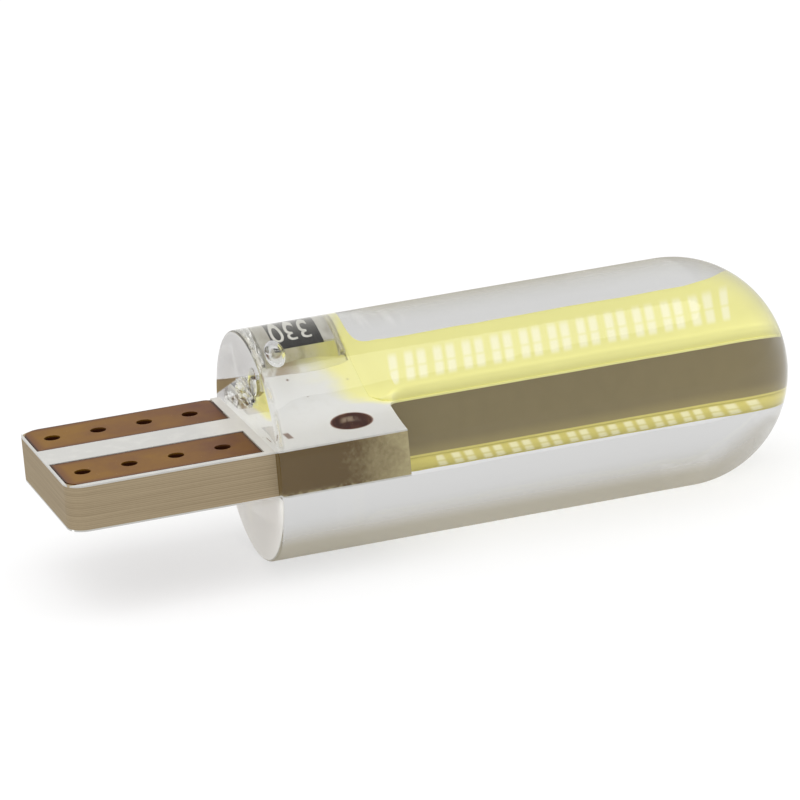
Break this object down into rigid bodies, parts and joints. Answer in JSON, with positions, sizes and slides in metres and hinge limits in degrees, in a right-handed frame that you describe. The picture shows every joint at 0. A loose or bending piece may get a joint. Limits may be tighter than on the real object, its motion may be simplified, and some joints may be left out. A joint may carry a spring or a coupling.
{
  "type": "wedge base led bulb",
  "caption": "Wedge base LED bulb: a printed board with a light strip on both faces, moulded into a clear gel cylinder with a round end.",
  "frame": {"origin": "on the bulb's axis, in the flat end of the gel body that seats against the lamp holder", "axes": "+X along the bulb from the tongue to the dome, +Z the normal of the board's upper face, +Y across the board"},
  "size_m": [0.0332, 0.01, 0.01],
  "materials": {
    "clear_gel": "clear, smooth and soft",
    "board_laminate": "sawn laminate edge",
    "white_lacquer": "satin",
    "copper_pad": "tarnished",
    "plated_hole": "dull",
    "phosphor": "satin",
    "die": "satin",
    "resistor_ceramic": "matt",
    "resistor_coat": "satin",
    "tinned_cap": "satin",
    "solder": "bright"
  },
  "bodies": {
    "root": {"gel_body": "clear_gel", "board_core": "board_laminate", "solder_mask_top": "white_lacquer", "solder_mask_bottom": "white_lacquer", "contact_far": "copper_pad", "contact_near": "copper_pad", "link_track_top": "copper_pad", "link_track_bottom": "copper_pad", "eyelet_barrel": "plated_hole", "led_dies_top": "die", "led_dies_bottom": "die", "phosphor_bead_top": "phosphor", "phosphor_bead_bottom": "phosphor", "resistor_ceramic_top": "resistor_ceramic", "resistor_coat_top": "resistor_coat", "resistor_cap_top_base": "tinned_cap", "resistor_cap_top_dome": "tinned_cap", "resistor_ceramic_bottom": "resistor_ceramic", "resistor_coat_bottom": "resistor_coat", "resistor_cap_bottom_base": "tinned_cap", "resistor_cap_bottom_dome": "tinned_cap", "solder_joint_top_base": "solder", "solder_joint_top_dome": "solder", "solder_joint_bottom_base": "solder", "solder_joint_bottom_dome": "solder"}
  },
  "joints": []
}
